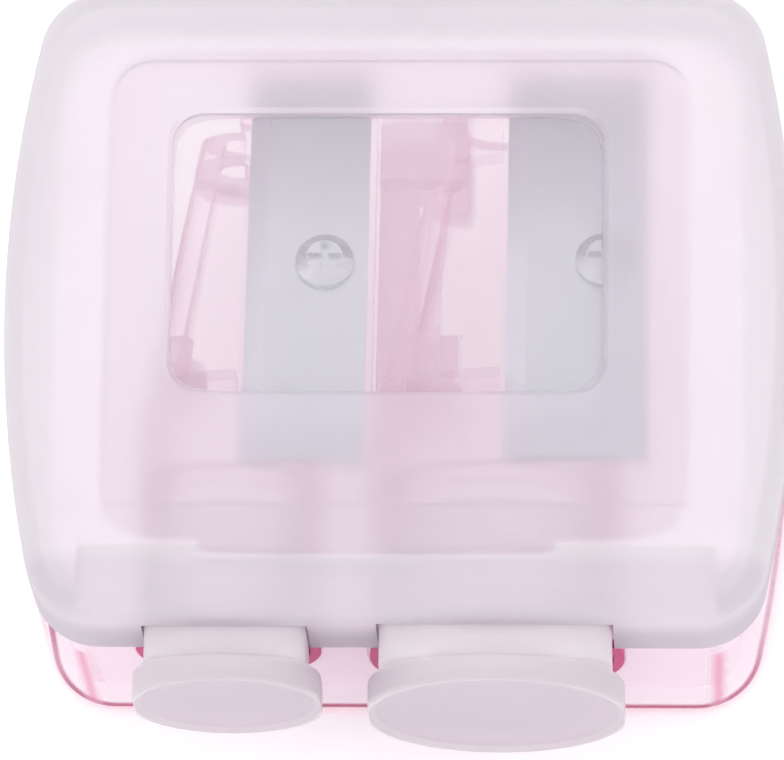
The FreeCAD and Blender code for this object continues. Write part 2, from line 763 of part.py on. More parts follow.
def make_screw(unit):
    """A raised-head screw with a cross recess, standing square to its blade."""
    body = new_body(f"{unit.kind}_blade_screw")
    half = new_sketch(body, "half_section", "XZ_Plane")
    tip = size("screw_length") - size("screw_spare")
    under = size("blade_thickness")
    rim = under + size("head_edge")
    crown = under + size("head_height")
    add_polygon(half, ((ZERO, -tip), (size("screw_tip_radius"), -tip),
                       (size("screw_radius"), size("screw_taper") - tip),
                       (size("screw_radius"), under), (size("head_radius"), under),
                       (size("head_radius"), rim), (size("head_flat_radius"), crown),
                       (ZERO, crown)))
    spin(body, "turned", half)
    cross = new_sketch(body, "cross", "XY_Plane", crown)
    arm = size("cross_length") / 2
    thin = size("cross_width") / 2
    add_polygon(cross, ((-thin, -arm), (thin, -arm), (thin, -thin), (arm, -thin), (arm, thin),
                        (thin, thin), (thin, arm), (-thin, arm), (-thin, thin), (-arm, thin),
                        (-arm, -thin), (-thin, -thin)))
    cut(body, "cross_recess", cross, size("cross_depth"))
    across, along = screw_spot(unit)
    place(body, unit.in_box(unit.on_slope(across, along, ZERO)), unit.angle)
    return body


# ---------------------------------------------------------------- plugs


def make_plug(unit):
    """A hollow stopper: a round stub in the collar, a flat-topped neck in the cover's notch and a
    dished round flange, with a flat on either side, to pull it by."""
    body = new_body(f"{unit.kind}_plug")
    face = -half_length - unit.reach
    shoulder = face + size("flange_thickness")
    inner_end = -half_length + size("plug_depth")
    flange = unit.neck + size("flange_overhang")
    dish = flange - size("dish_rim")
    half = new_sketch(body, "half_section", "XY_Plane")
    add_polygon(half, ((ZERO, face + size("dish_depth")), (dish, face + size("dish_depth")),
                       (dish + size("dish_rim") / 2, face), (flange, face), (flange, shoulder),
                       (unit.neck, shoulder), (unit.neck, inner_end), (ZERO, inner_end)))
    spin(body, "turned", half)
    neck = new_sketch(body, "neck_section", "XZ_Plane", -shoulder)
    low = joint + size("piece_gap") - unit.height
    add_polygon(neck, rectangle(-unit.neck, unit.neck, low, unit.neck))
    square = pad(body, "square_neck", neck, collar_cut - size("piece_gap") - shoulder)
    square.Reversed = True
    dress(body, "neck_corners", "PartDesign::Fillet", size("neck_corner"),
          along_top_corners(unit.neck, unit.neck))
    flats = new_sketch(body, "flat_section", "XZ_Plane", -face)
    side = flange - size("flange_flat")
    for name, left, right in (("left", -flange - wall, -side), ("right", side, flange + wall)):
        add_polygon(flats, rectangle(left, right, -flange - wall, flange + wall), f"{name}_")
    cut(body, "flange_flats", flats, size("flange_thickness"))
    hollow = new_sketch(body, "hollow_section", "XY_Plane")
    floor = face + size("dish_depth") + size("plug_wall")
    inner = unit.neck - size("plug_wall")
    add_polygon(hollow, rectangle(ZERO, inner, floor, inner_end + wall))
    doc.recompute()
    before = body.Shape.Volume
    spin(body, "hollow", hollow, "PartDesign::Groove")
    doc.recompute()
    if not body.Shape.Volume < before:
        raise RuntimeError(f"{body.Label}.hollow cuts nothing")
    place(body, (unit.across, ZERO, unit.height))
    return body


# ---------------------------------------------------------------- build, check and write


def main():
    pieces = [
        make_tray(), make_frame(),
        make_sharpener_body(SMALL, small_slot_blocks(), -SMALL.shell - size("wall")),
        make_sharpener_body(LARGE, large_slot_blocks(), size("large_slot_in") - LARGE.pencil)]
    for unit in (SMALL, LARGE):
        pieces += [make_blade(unit), make_screw(unit), make_plug(unit)]
    pieces.append(make_cover())
    doc.recompute()

    for item in doc.Objects:
        if "Invalid" in item.State or "Error" in item.State:
            raise RuntimeError(f"{item.Label} is {item.State}")
    for piece in pieces:
        shape = piece.Shape
        if shape.isNull() or not shape.isValid():
            raise RuntimeError(f"{piece.Label} has no valid shape")
        if len(shape.Solids) != 1:
            raise RuntimeError(f"{piece.Label} has {len(shape.Solids)} solids")
    os.makedirs("parts", exist_ok=True)
    for piece in pieces:
        piece.Shape.exportStep(f"parts/{piece.Label}.step")
        print(f"{piece.Label}: {piece.Shape.Volume:.1f} mm3, {len(piece.Shape.Solids)} solid")


main()
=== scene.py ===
"""Two-hole cosmetic pencil sharpener: its moulded, ground and turned finishes, on a pale table.

Everything is in metres, in the frame of the part: +Z up through the cover, pencils going in
along +Y, the origin under the middle of the tray.
"""

import math
from collections import namedtuple

import bpy
import numpy as np
from bpy.props import FloatProperty, FloatVectorProperty, PointerProperty
from mathutils import Matrix, Vector


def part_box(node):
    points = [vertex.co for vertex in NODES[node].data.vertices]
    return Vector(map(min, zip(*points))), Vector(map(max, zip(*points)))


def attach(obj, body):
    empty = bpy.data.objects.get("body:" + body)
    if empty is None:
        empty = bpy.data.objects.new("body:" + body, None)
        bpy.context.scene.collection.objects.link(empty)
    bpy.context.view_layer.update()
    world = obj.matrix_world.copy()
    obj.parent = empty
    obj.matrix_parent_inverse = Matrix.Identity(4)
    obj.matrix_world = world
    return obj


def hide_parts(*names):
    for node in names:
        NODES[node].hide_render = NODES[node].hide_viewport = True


bl_info = {
    "name": "Pencil Sharpener",
    "version": (1, 0, 0),
    "blender": (4, 5, 0),
    "location": "View3D > Sidebar > Sharpener",
    "description": "Finishes a two-hole pencil sharpener with a frosted cover and a clear tray",
    "category": "Object",
}

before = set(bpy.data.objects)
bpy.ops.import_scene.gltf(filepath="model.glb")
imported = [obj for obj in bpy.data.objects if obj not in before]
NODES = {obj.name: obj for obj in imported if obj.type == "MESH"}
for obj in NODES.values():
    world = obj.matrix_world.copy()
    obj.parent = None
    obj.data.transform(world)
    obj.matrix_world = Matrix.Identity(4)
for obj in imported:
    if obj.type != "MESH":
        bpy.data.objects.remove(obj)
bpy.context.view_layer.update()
MM = 0.001


# ---------------------------------------------------------------- sizes and colours


def colour_setting(label, note, default):
    return FloatVectorProperty(name=label, description=note, size=3, subtype="COLOR", default=default,
                               min=0, max=1)


def share_setting(label, note, default):
    """A setting from 0 to 1."""
    return FloatProperty(name=label, description=note, default=default, min=0, max=1, subtype="FACTOR")


def length_setting(label, note, default):
    """A length, in metres."""
    return FloatProperty(name=label, description=note, default=default, min=0, subtype="DISTANCE",
                         unit="LENGTH")


def depth_setting(label, note, default):
    """How strongly a plastic takes up light, per metre."""
    return FloatProperty(name=label, description=note, default=default, min=0, max=1000)


class FrostedSettings(bpy.types.PropertyGroup):
    """The milky plastic of the cover and the stoppers.  Milk is the share of a surface that
    doesn't let the view through, and blur is its roughness."""

    tint: colour_setting("Tint", "Colour of the cover's milky plastic", (0.91, 0.87, 0.915))
    milk: share_setting("Milk", "Milk of the cover's thinned panel", 0.43)
    rim_milk: share_setting("Rim milk", "Milk of the cover around the thinned panel", 0.64)
    inner_milk: share_setting("Inner milk", "Milk of the cover's smoother inner faces", 0.08)
    blur: share_setting("Blur", "Roughness of the etched surfaces", 0.46)
    window_tint: colour_setting("Window tint", "Colour of the polished window", (0.995, 0.975, 0.985))
    window_milk: share_setting("Window milk", "Milk left in the polished window", 0.2)
    window_blur: share_setting("Window blur", "Roughness of the polished window", 0.1)
    # painted shade: a darker tint laid on the cover's upright walls and near ledge
    wall_shade: colour_setting("Wall tint", "Colour of the cover's upright walls", (0.68, 0.62, 0.69))
    stopper_tint: colour_setting("Stopper tint", "Colour of the stoppers", (0.99, 0.935, 0.975))
    stopper_milk: share_setting("Stopper milk", "Milk of the stoppers' necks", 0.62)
    stub_milk: share_setting("Stub milk", "Milk of the smooth stubs inside the box", 0.06)
    # painted shade: a darker tint laid on the stoppers' flange faces and, in part, their sides
    flange_shade: colour_setting("Flange tint", "Colour of the stoppers' thick flanges", (0.70, 0.61, 0.68))
    flange_milk: share_setting("Flange milk", "Milk of the stoppers' flanges", 0.7)


class StopperSettings(bpy.types.PropertyGroup):
    """The sizes of both stoppers, past those that their places in the box give."""

    overhang: length_setting("Overhang", "Flange radius over the neck's", 1.1 * MM)
    thickness: length_setting("Flange thickness", "From the face to the neck", 1.6 * MM)
    stub_length: length_setting("Stub length", "Round end past the flat-topped neck", 3.2 * MM)
    neck_start: length_setting("Neck start", "From the cover's foot up to where the neck turns square",
                               0.1 * MM)
    dish_depth: length_setting("Dish depth", "Hollow in the flange's face", 0.3 * MM)
    dish_rim: length_setting("Dish rim", "Width left around the dish", 0.7 * MM)
    wall: length_setting("Wall", "Of the hollow stub", 0.8 * MM)
    softness: length_setting("Softness", "How far moulded edges are rounded", 0.3 * MM)


class ClearSettings(bpy.types.PropertyGroup):
    """The clear pink plastic of the tray and everything it holds."""

    tray_film: colour_setting("Tray film", "What the tray's faces let through", (0.997, 0.988, 0.993))
    tray_body: colour_setting("Tray body", "Colour of the tray's own sheen", (0.96, 0.80, 0.90))
    tray_depth: depth_setting("Tray depth", "How strongly the tray takes up light", 6)
    insert_film: colour_setting("Insert film", "What the sharpeners' faces let through",
                                (0.997, 0.991, 0.995))
    insert_body: colour_setting("Insert body", "Colour of the sharpeners' own sheen", (0.98, 0.56, 0.80))
    insert_depth: depth_setting("Insert depth", "How strongly the sharpeners take up light", 36)
    depth_colour: colour_setting("Depth colour", "What light keeps inside the plastic", (0.865, 0.10, 0.64))
    # painted glow: a deep pink laid on opaque where light would run out of an edge
    edge_glow_colour: colour_setting("Edge colour", "Where light runs out of an edge", (0.60, 0.0, 0.17))


class StudioSettings(bpy.types.PropertyGroup):
    """The table, the light and the camera."""

    azimuth: FloatProperty(name="Azimuth", description="Camera's turn round the box",
                           default=math.radians(7.3), subtype="ANGLE")
    elevation: FloatProperty(name="Elevation", description="Camera's height over the horizon",
                             default=math.radians(71.03), subtype="ANGLE")
    roll: FloatProperty(name="Roll", description="Camera's turn about its own line of sight",
                        default=math.radians(-6.82), subtype="ANGLE")
    distance: length_setting("Distance", "Camera to the box", 0.3995)
    lens: FloatProperty(name="Lens", description="Focal length in millimetres", default=313.3)
    sky: FloatProperty(name="Sky", description="Brightness of the even light", default=1.1)
    floor_tone: colour_setting("Table", "Colour of the table", (0.93, 0.93, 0.935))
    glow: FloatProperty(name="Table glow", description="Light that the table gives of its own",
                        default=0.24, min=0)


SETTINGS = {"sharpener_frosted": FrostedSettings, "sharpener_stopper": StopperSettings,
            "sharpener_clear": ClearSettings, "sharpener_studio": StudioSettings}


# ---------------------------------------------------------------- moulded surfaces

CORNER_POWER = 12   # how nearly square the upper half of a neck is
FLAT_POWER = 60     # how sharply a flange turns into its flats
NECK_RISE = 0.15 * MM   # height over which a neck turns square
CRISP_TURN = math.radians(40)   # an edge that turns more than this stays crisp


def rounded_outline(points, softness, steps=7):
    """An outline with soft corners.  Each corner gives way to a curve that leaves and meets the
    outline at its softness from the corner: the weighted mean of start, corner and end, with
    weights (1 - t) squared, 2 t (1 - t) and t squared."""
    turn = np.linspace(0.0, 1.0, steps)[:, None]
    path = [points[:1]]
    for before, corner, after, soft in zip(points, points[1:], points[2:], softness):
        back, ahead = before - corner, after - corner
        start = corner + soft * back / max(np.linalg.norm(back[:2]), 1e-9)
        end = corner + soft * ahead / max(np.linalg.norm(ahead[:2]), 1e-9)
        curve = (1 - turn) ** 2 * start + 2 * turn * (1 - turn) * corner + turn ** 2 * end
        path.append(curve if soft > 0 else corner[None])
    path.append(points[-1:])
    return np.concatenate(path)


def turned_shell(name, rings):
    """A closed shell from an array of rings, each a row of points; the first and last rings have
    shrunk to a point and are closed as poles."""
    count = rings.shape[1]
    places = np.concatenate((rings[0, :1], rings[1:-1].reshape(-1, 3), rings[-1, :1]))
    around = np.arange(count)
    following = np.roll(around, -1)
    rows = 1 + count * np.arange(len(rings) - 3)[:, None]
    quads = np.stack((rows + around, rows + count + around, rows + count + following, rows + following), -1)
    last = len(places) - 1
    first_fan = np.stack((np.zeros(count, int), 1 + around, 1 + following), -1)
    last_fan = np.stack((np.full(count, last), last - count + following, last - count + around), -1)
    mesh = bpy.data.meshes.new(name)
    mesh.from_pydata(places, [], first_fan.tolist() + quads.reshape(-1, 4).tolist() + last_fan.tolist())
    mesh.shade_smooth()
    mesh.set_sharp_from_angle(angle=CRISP_TURN)
    mesh.validate()
    piece = bpy.data.objects.new(name, mesh)
    bpy.context.scene.collection.objects.link(piece)
    return piece


def stopper_surface(name, node, settings, angles=288):
    """A hollow stopper around a line along Y.  A profile of distance along the line, radius and
    squareness is carried round it.  Where a place is square, and above the neck's start, its
    radius is divided by the twelfth-power mean of the turn's sine and cosine, which gives a flat
    top with soft corners.  The flange's two flats are a soft minimum of that radius and the
    flat's distance over the cosine: radius over flat is raised to sixty, one is added, and the
    radius is divided by the sixtieth root of that."""
    low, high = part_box(node)
    face, side, flange = low.y, (high.x - low.x) / 2, (high.z - low.z) / 2
    centre_x, centre_z = (low.x + high.x) / 2, (low.z + high.z) / 2
    neck = flange - settings.overhang
    neck_end = high.y - settings.stub_length
    shoulder = face + settings.thickness
    dish, dish_floor = flange - settings.dish_rim, face + settings.dish_depth
    bore, bore_floor = neck - settings.wall, dish_floor + settings.wall
    soft, fine = settings.softness, settings.softness / 3
    stub = neck - fine / 10
    outline = np.array((
        (dish_floor, 0.0, 0), (dish_floor, dish, 0), (face, dish + settings.dish_rim / 2, 0),
        (face, flange, 0), (shoulder, flange, 0), (shoulder, neck, 1), (neck_end, neck, 1),
        (neck_end, stub, 0), (high.y, stub, 0), (high.y, bore, 0), (bore_floor, bore, 0),
        (bore_floor, 0.0, 0)))
    rounding = (soft, fine, soft, soft, fine, 0, 0, fine, fine, soft)
    along, radius, square = rounded_outline(outline, rounding).T[:, :, None]
    turn = np.linspace(0.0, 2 * math.pi, angles, endpoint=False)
    cosine, sine = np.cos(turn), np.sin(turn)
    across = np.maximum(np.abs(cosine), 1e-6)   # kept off zero, which it is divided by
    boxed = (np.abs(cosine) ** CORNER_POWER + np.abs(sine) ** CORNER_POWER) ** (-1 / CORNER_POWER)
    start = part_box("cover")[0].z + settings.neck_start - centre_z
    upper = np.clip((neck * sine / across - start) / NECK_RISE, 0.0, 1.0)
    reach = radius * (1 + square * upper * (boxed - 1))
    flat = side / across
    reach = reach * (1 + (reach / flat) ** FLAT_POWER) ** (-1 / FLAT_POWER)
    rings = np.stack((centre_x + reach * cosine, along + 0 * turn, centre_z + reach * sine), -1)
    return turned_shell(name, rings)


# ---------------------------------------------------------------- material building


class Tree:
    """A short way to write a material's nodes."""

    def __init__(self, name):
        self.material = bpy.data.materials.new(name)
        self.material.use_nodes = True
        self.nodes = self.material.node_tree.nodes
        self.links = self.material.node_tree.links
        self.nodes.clear()
        self.output = self.add("OutputMaterial")
        self.place = self.add("TexCoord").outputs["Object"]

    def add(self, kind, **values):
        """A shader node, with its inputs set from plain values or from other sockets."""
        node = self.nodes.new(f"ShaderNode{kind}")
        for name, value in values.items():
            if hasattr(node, name) and name not in ("color", "inputs"):
                setattr(node, name, value)
            else:
                self.feed(node.inputs[name.replace("_", " ")], value)
        return node

    def feed(self, socket, value):
        if isinstance(value, bpy.types.NodeSocket):
            self.links.new(value, socket)
        else:
            socket.default_value = value

    def maths(self, operation, *values):
        node = self.add("Math", operation=operation)
        for socket, value in zip(node.inputs, values):
            self.feed(socket, value)
        return node.outputs[0]

    def between(self, value, start, stop, low=0.0, high=1.0):
        """A smooth step from low at start to high at stop."""
        node = self.add("MapRange", interpolation_type="SMOOTHSTEP")
        for name, part in zip(("Value", "From Min", "From Max", "To Min", "To Max"),
                              (value, start, stop, low, high)):
            self.feed(node.inputs[name], part)
        return node.outputs[0]

    def noise(self, scale, detail=2.0, roughness=0.5, stretch=None):
        place = self.place
        if stretch:
            place = self.add("Mapping", Vector=place, Scale=stretch).outputs[0]
        return self.add("TexNoise", Vector=place, Scale=scale, Detail=detail,
                        Roughness=roughness).outputs["Fac"]

    def blend(self, factor, first, second):
        """First where the factor is 0, second where it is 1."""
        node = self.add("Mix", data_type="FLOAT")
        for index, value in ((0, factor), (2, first), (3, second)):
            self.feed(node.inputs[index], value)
        return node.outputs[0]

    def mix_colour(self, factor, first, second):
        node = self.add("Mix", data_type="RGBA")
        self.feed(node.inputs[0], factor)
        self.feed(node.inputs[6], first if isinstance(first, bpy.types.NodeSocket) else (*first, 1))
        self.feed(node.inputs[7], second if isinstance(second, bpy.types.NodeSocket) else (*second, 1))
        return node.outputs[2]

    def bump(self, height, distance, strength=1.0):
        return self.add("Bump", Height=height, Distance=distance, Strength=strength).outputs[0]

    def surface(self, shader):
        self.links.new(shader, self.output.inputs["Surface"])

    def lamp_through(self, shader, tint):
        """Let lamps shine through: rays towards a lamp meet a tinted, unbending surface."""
        clear = self.add("BsdfTransparent", Color=(*tint, 1))
        path = self.add("LightPath")
        mix = self.add("MixShader")
        self.links.new(path.outputs["Is Shadow Ray"], mix.inputs[0])
        self.links.new(shader, mix.inputs[1])
        self.links.new(clear.outputs[0], mix.inputs[2])
        self.surface(mix.outputs[0])


# a rectangle with soft corners, seen from above: its middle, its half widths, the power that
# squares its corners and the softness of its edge as a share of its size
Region = namedtuple("Region", "middle half_x half_y power soft")

# a face that was polished: its milk, its roughness and its tint
Polish = namedtuple("Polish", "milk blur tint")

POLISH_MARGIN = 0.8 * MM   # around a window, where the etching has faded out


def rounded_distance(tree, region):
    """How far out a place lies seen from above: 1 on the region's outline, less inside.  The x
    and y distances, each as a share of its half width, are raised to a power and added, and the
    same root is taken."""
    split = tree.add("SeparateXYZ", Vector=tree.place)
    total = None
    for name, centre, half in zip("XY", region.middle, (region.half_x, region.half_y)):
        offset = tree.maths("SUBTRACT", split.outputs[name], centre)
        share = tree.maths("DIVIDE", tree.maths("ABSOLUTE", offset), half)
        term = tree.maths("POWER", share, region.power)
        total = term if total is None else tree.maths("ADD", total, term)
    return tree.maths("POWER", total, 1.0 / region.power)


def patch(tree, region):
    """1 inside a region, 0 outside it, with a soft edge."""
    distance = rounded_distance(tree, region)
    return tree.between(distance, 1.0 - region.soft, 1.0 + region.soft, 1.0, 0.0)


def band(tree, axis, start, stop, soft):
    """1 between two places along an axis, 0 outside them, with soft edges."""
    place = tree.add("SeparateXYZ", Vector=tree.place).outputs[axis]
    rise = tree.between(place, start - soft, start + soft)
    fall = tree.between(place, stop - soft, stop + soft, 1.0, 0.0)
    return tree.maths("MULTIPLY", rise, fall)


def frosted_plastic(name, tint, milk, blur, window=None, panels=(), rim_milk=0.0, polish=None,
                    shade=None, shaded=None, shaded_milk=None, smooth=None, smooth_milk=0.0):
    """Milky, faintly etched plastic.  It is milkier outside its thinned panels, and in the
    window both faces are polished.  Where shaded(tree) is 1 the tint goes over to shade, a painted
    shade on faces that get less light, and the milk to shaded_milk if one is given.  The milk
    drops to smooth_milk where smooth(tree) is 1, on faces that weren't etched."""
    tree = Tree(name)
    grain = tree.noise(scale=2600.0, detail=3.0, roughness=0.6)
    cloud = tree.noise(scale=70.0)
    rough = tree.between(grain, 0.2, 0.8, blur * 0.9, blur * 1.1)
    thin = 0.0 if panels else 1.0
    for panel in panels:
        thin = tree.maths("MAXIMUM", thin, patch(tree, panel))
    own = tree.blend(thin, rim_milk, milk)
    if shaded:
        shade_mask = shaded(tree)
    if shaded_milk is not None:
        own = tree.blend(shade_mask, own, shaded_milk)
    if smooth:
        own = tree.blend(smooth(tree), own, smooth_milk)
    own = tree.maths("ADD", own, tree.between(cloud, 0.3, 0.7, -0.02, 0.02))
    etching = tree.between(cloud, 0.0, 1.0, 0.5, 0.6)
    colour = tree.mix_colour(cloud, tuple(tint), tuple(0.99 * c for c in tint))
    # painted shade: the tint goes darker where the shade mask is 1
    if shaded:
        colour = tree.mix_colour(shade_mask, colour, tuple(shade))
    if window:
        inside = patch(tree, window)
        around = patch(tree, window._replace(half_x=window.half_x + POLISH_MARGIN,
                                             half_y=window.half_y + POLISH_MARGIN))
        etching = tree.blend(around, etching, 0.0)
        rough = tree.blend(inside, rough, polish.blur)
        own = tree.blend(inside, own, polish.milk)
        colour = tree.mix_colour(inside, colour, tuple(polish.tint))
    normal = tree.bump(grain, 0.01 * MM, etching)
    shader = tree.add("BsdfPrincipled", Base_Color=colour, Roughness=rough, IOR=1.3, Normal=normal)
    tree.feed(shader.inputs["Transmission Weight"], tree.maths("SUBTRACT", 1.0, own))
    tree.lamp_through(shader.outputs[0], tuple(c ** 0.3 for c in tint))
    return tree.material


FACE_SHARE = 0.02      # of a clear face's own colour, seen face on
OUTLINE_SHARE = 0.55   # of its own colour along its outline
BLOCK_SHARE = 0.45     # of its own colour over solid blocks
CLEAR_GLOSS = 0.1      # kept low, so that the sky's reflection doesn't wash out the dye


def clear_plastic(name, film, body, depth, depth_colour, side_share, edge_glow_colour=None, glowing=None,
                  thick=None):
    """Clear dyed plastic: a thin film lets the view straight through, the dye inside deepens with
    the way that light goes through it, and faces seen from the side show more of their own
    colour, up to side_share.  glowing(tree) is 1 where a painted glow in the edge colour stands for
    light that runs along inside a wall and comes out, and thick(tree) is 1 over solid blocks, where the dye
    shows most."""
    tree = Tree(name)
    flow = tree.noise(scale=45.0, stretch=(1.0, 1.0, 2.5))
    fine = tree.noise(scale=900.0)
    colour = tree.mix_colour(flow, tuple(body), tuple(0.96 * c for c in body))
    aside = tree.add("LayerWeight", Blend=0.5).outputs["Facing"]
    share = tree.between(aside, 0.3, 0.95, FACE_SHARE, side_share)
    outline = tree.maths("MULTIPLY", tree.between(aside, 0.72, 1.0), OUTLINE_SHARE)
    share = tree.maths("MAXIMUM", share, outline)
    share = tree.maths("ADD", share, tree.between(flow, 0.3, 0.7, -0.02, 0.02))
    if thick:
        share = tree.maths("MAXIMUM", share, tree.maths("MULTIPLY", thick(tree), BLOCK_SHARE))
    # painted glow: the edge colour is laid on opaque where glowing(tree) is 1
    if glowing:
        lit = glowing(tree)
        colour = tree.mix_colour(lit, colour, tuple(edge_glow_colour))
        share = tree.blend(lit, share, 1.0)
    rough = tree.between(fine, 0.3, 0.7, 0.12, 0.2)
    normal = tree.bump(flow, 0.12 * MM, 0.6)
    shader = tree.add("BsdfPrincipled", Base_Color=colour, Roughness=rough, Normal=normal,
                      Specular_IOR_Level=CLEAR_GLOSS)
    clear = tree.add("BsdfTransparent", Color=(*film, 1))
    mix = tree.add("MixShader")
    tree.links.new(share, mix.inputs[0])
    tree.links.new(clear.outputs[0], mix.inputs[1])
    tree.links.new(shader.outputs[0], mix.inputs[2])
    tree.surface(mix.outputs[0])
    absorb = tree.add("VolumeAbsorption", Color=(*depth_colour, 1), Density=depth)
    tree.links.new(absorb.outputs[0], tree.output.inputs["Volume"])
    return tree.material


BLADE_TONE = (0.595, 0.615, 0.70)
BLADE_BLUR = 0.34
# the brighter strip is partly ground finish and partly painted sheen for the bevel
GROUND_WIDTH = 2.0 * MM   # of the brighter strip, some of it past the blade's edge


def scaled(colour, factor):
    """A colour made lighter or darker, and no channel of it over 1."""
    return tuple(min(1.0, factor * c) for c in colour)


def ground_steel(name, slope, ground_end):
    """Steel strip that lies at a slope, with fine grinding lines across the blade and a brighter
    strip that ends at ground_end, where the cutting edge was ground: partly its ground finish and
    partly a painted sheen for the bevel, which the flat blade doesn't have."""
    tree = Tree(name)
    lines = tree.add("Mapping", Vector=tree.place, Rotation=(slope, 0, 0), Scale=(30.0, 3500.0, 600.0))
    streaks = tree.add("TexNoise", Vector=lines.outputs[0], Scale=1.0, Detail=3.0,
                       Roughness=0.6).outputs["Fac"]
    cloud = tree.noise(scale=120.0, detail=3.0, roughness=0.6)
    tone = tree.mix_colour(streaks, BLADE_TONE, scaled(BLADE_TONE, 1.12))
    tone = tree.mix_colour(tree.between(cloud, 0.35, 0.7, 0.0, 0.35), tone, scaled(BLADE_TONE, 0.9))
    ground = band(tree, "X", ground_end - GROUND_WIDTH, ground_end, 0.05 * MM)
    # brighter strip: ground finish, with painted sheen for the missing bevel
    tone = tree.mix_colour(ground, tone, scaled(BLADE_TONE, 1.25))
    rough = tree.between(streaks, 0.3, 0.7, BLADE_BLUR * 0.85, BLADE_BLUR * 1.2)
    shader = tree.add("BsdfPrincipled", Base_Color=tone, Metallic=1.0, Roughness=rough,
                      Normal=tree.bump(streaks, 0.004 * MM, 0.5))
    tree.surface(shader.outputs[0])
    return tree.material


def plated_steel(name):
    """Bright plated steel with a faint turned texture."""
    tree = Tree(name)
    cloud = tree.noise(scale=400.0, detail=3.0, roughness=0.6)
    tone = tree.mix_colour(cloud, (0.56, 0.58, 0.65), (0.66, 0.68, 0.75))
    rough = tree.between(cloud, 0.3, 0.7, 0.2, 0.32)
    shader = tree.add("BsdfPrincipled", Base_Color=tone, Metallic=1.0, Roughness=rough,
                      Normal=tree.bump(cloud, 0.006 * MM, 0.4))
    tree.surface(shader.outputs[0])
    return tree.material


def table_finish(colour, glow):
    """A smooth pale light table with a barely visible tooth."""
    tree = Tree("pale_table")
    tooth = tree.noise(scale=500.0)
    tone = tree.mix_colour(tooth, tuple(colour), tuple(0.995 * c for c in colour))
    shader = tree.add("BsdfPrincipled", Base_Color=tone, Roughness=0.6,
                      Normal=tree.bump(tooth, 0.02 * MM, 0.2))
    tree.feed(shader.inputs["Emission Color"], (1.0, 1.0, 1.0, 1.0))
    tree.feed(shader.inputs["Emission Strength"], glow)
    tree.surface(shader.outputs[0])
    return tree.material


def finish_node(node, material):
    """Give a CAD part its finish."""
    for slot in NODES[node].material_slots:
        slot.material = material


# ---------------------------------------------------------------- places on the pieces

# the cover's polished window; its thinned panel, with the part that reaches over the ledge's
# shallower middle; and the room between its walls
WINDOW = Region((-0.7 * MM, 2.55 * MM), 12.3 * MM, 8.35 * MM, power=10.0, soft=0.006)
PANELS = (Region((-0.15 * MM, 0.0), 16.7 * MM, 14.8 * MM, power=12.0, soft=0.02),
          Region((-1.0 * MM, -8.0 * MM), 10.1 * MM, 7.6 * MM, power=24.0, soft=0.02))
COVER_ROOM = Region((0.0, 0.0), 19.6 * MM, 17.75 * MM, power=10.0, soft=0.01)

# where the painted shade lies on the cover's walls and ledge
WALL_FOOT, WALL_HEAD = 2.0 * MM, 0.3 * MM    # its shade fades from above the foot to below the top
LEDGE_START, LEDGE_END = 2.4 * MM, 4.0 * MM  # in from the near face, where the ledge's shade fades
LEDGE_SHADE = 0.45                           # of the walls' shade
UNDERSIDE = (0.9 * MM, 0.7 * MM)             # below the top, where the inner faces end

BEYOND = 1.0 * MM                        # past a face, so that a band takes all of it in
STUB_FADE = (0.6 * MM, 1.4 * MM)         # in from the near wall, where a stub's milk fades
FLANGE_FACE, FLANGE_SOFT = 0.5 * MM, 0.3 * MM   # depth of the face's shade, and how softly it ends
FLANGE_RIM = (0.9 * MM, 0.3 * MM)        # in from the edge, where the face's shade fades
FLANGE_SIDE_SHADE = 0.55                 # of the face's shade

# painted glow, standing for light that runs out of the tray's foot and corners
FOOT_LINE = (0.1 * MM, 0.42 * MM)        # heights of the lit line around the tray's foot
STREAK_OUT, STREAK_HALF = 18.3 * MM, 0.8 * MM   # where a corner's streak lies across, half its width
STREAK_ALONG = (17.3 * MM, 17.9 * MM)    # where it comes in, along the tray
STREAK_HEIGHT = (0.8 * MM, 11.5 * MM)
STREAK_SHARE = 0.7                       # of the foot line's strength
TRAY_SIDE_SHARE = 0.27                   # of its own colour, seen from the side

# painted glow on the collars' ends, standing for light run out of them
COLLAR_LIT = 0.5 * MM                    # depth of a collar's lit end
INSERT_SIDE_SHARE = 0.9                  # of the frame's and the bodies' own colour

# left and right ends from the blade's cutting edge, near and far ends from the body's near end
SOLID_BLOCKS = {
    "small": ((-3.6 * MM, 0.0, 19.4 * MM, 20.6 * MM), (-5.2 * MM, -2.6 * MM, 6.8 * MM, 9.6 * MM)),
    "large": ((-7.6 * MM, -2.2 * MM, 18.9 * MM, 23.2 * MM), (-6.6 * MM, -2.7 * MM, 6.2 * MM, 9.6 * MM),
              (-7.6 * MM, -5.2 * MM, 6.2 * MM, 23.2 * MM)),
}

BLADE_SLOPES = {"small": math.radians(10.0), "large": math.radians(11.0)}
GROUND_END = 1.2 * MM                    # in from a blade's cutting edge


# ---------------------------------------------------------------- operators


